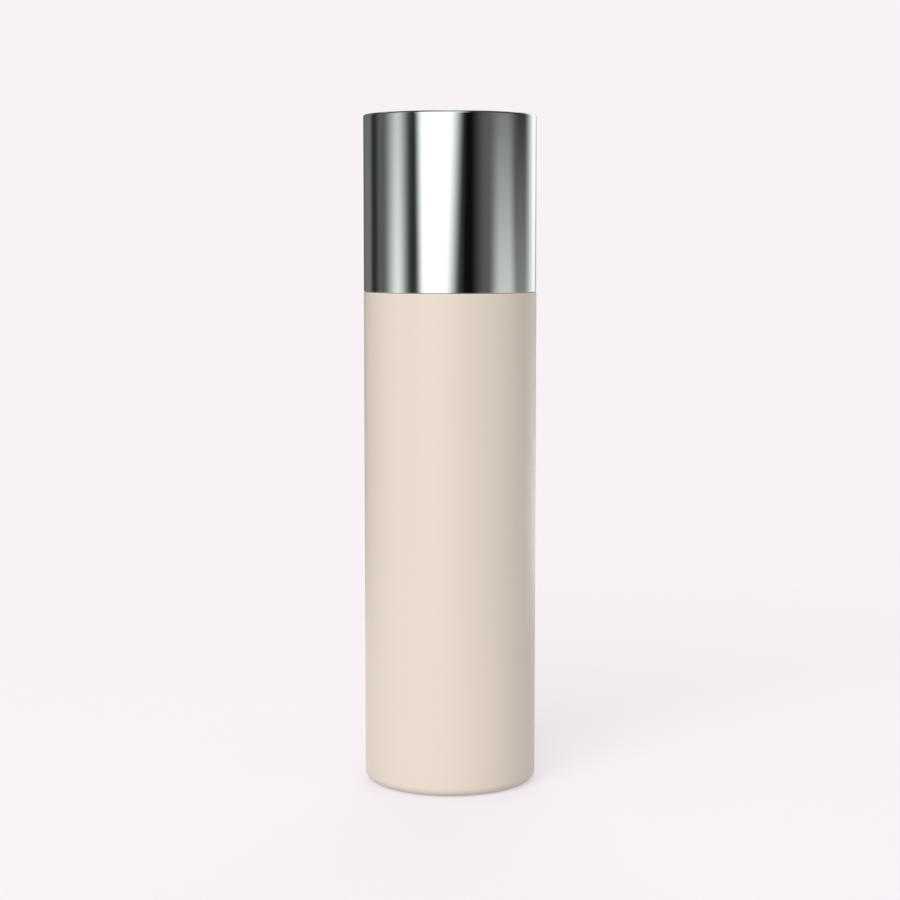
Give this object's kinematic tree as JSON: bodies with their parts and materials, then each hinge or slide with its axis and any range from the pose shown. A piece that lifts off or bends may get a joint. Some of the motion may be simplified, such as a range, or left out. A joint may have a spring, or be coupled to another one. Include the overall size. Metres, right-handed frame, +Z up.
{
  "type": "pump bottle",
  "caption": "Slim round double-wall lotion bottle with a flush full-width bright overcap over a screw-on treatment pump with a swivelling push head and short spout",
  "frame": {"origin": "centre of the base, on the plane that the bottle stands on", "axes": "+Z up along the bottle's own axis; the spout points along -Y, the side that faces the viewer; +X to the viewer's right"},
  "size_m": [0.04, 0.04, 0.1551],
  "materials": {
    "beige_plastic": "satin",
    "bright_aluminium": "polished",
    "bright_plating": "gloss",
    "bright_steel": "polished",
    "white_plastic": "satin",
    "natural_plastic": "satin",
    "white_foam": "matte"
  },
  "bodies": {
    "bottle": {"outer_shell": "beige_plastic", "inner_bottle": "natural_plastic", "shoulder_ring": "bright_plating"},
    "overcap": {"overcap_shell": "bright_aluminium", "overcap_liner": "white_plastic"},
    "pump_unit": {"pump_housing": "natural_plastic", "chaplet": "white_plastic", "neck_gasket": "white_foam", "dip_tube": "natural_plastic", "return_spring": "bright_steel"},
    "closure": {"screw_closure": "white_plastic", "collar_sleeve": "bright_aluminium"},
    "plunger": {"stem": "white_plastic", "poppet": "white_plastic"},
    "piston": {"piston": "white_plastic"},
    "head": {"actuator": "white_plastic", "actuator_shell": "bright_aluminium", "spout": "white_plastic"},
    "ball": {"inlet_ball": "bright_steel"}
  },
  "joints": [
    {"name": "cap_lift", "type": "slide", "parent": "bottle", "child": "overcap", "axis": [0, 0, 1], "range_m": [0, 0.045]},
    {"name": "pump_lift", "type": "slide", "parent": "bottle", "child": "pump_unit", "axis": [0, 0, 1], "range_m": [0, 0.0048]},
    {"name": "closure_turn", "type": "hinge", "parent": "pump_unit", "child": "closure", "pos_m": [0, 0, 0.101], "axis": [0, 0, 1], "range_deg": [0, 540]},
    {"name": "head_press", "type": "slide", "parent": "pump_unit", "child": "plunger", "axis": [0, 0, -1], "range_m": [0, 0.006], "stiffness_N_per_m": 1250, "springref_m": -0.007, "deforming": ["return_spring"]},
    {"name": "piston_lag", "type": "slide", "parent": "plunger", "child": "piston", "axis": [0, 0, 1], "range_m": [0, 0.0008]},
    {"name": "head_swivel", "type": "hinge", "parent": "plunger", "child": "head", "pos_m": [0, 0, 0.1277], "axis": [0, 0, 1], "continuous": true},
    {"name": "ball_lift", "type": "slide", "parent": "pump_unit", "child": "ball", "axis": [0, 0, 1], "range_m": [0, 0.0009]}
  ],
  "couplings": [
    {"joint": "pump_lift", "follows": "closure_turn", "m_per_rad": 0.00050532},
    {"joint": "piston_lag", "follows": "head_press", "ratio": 0.1333}
  ]
}
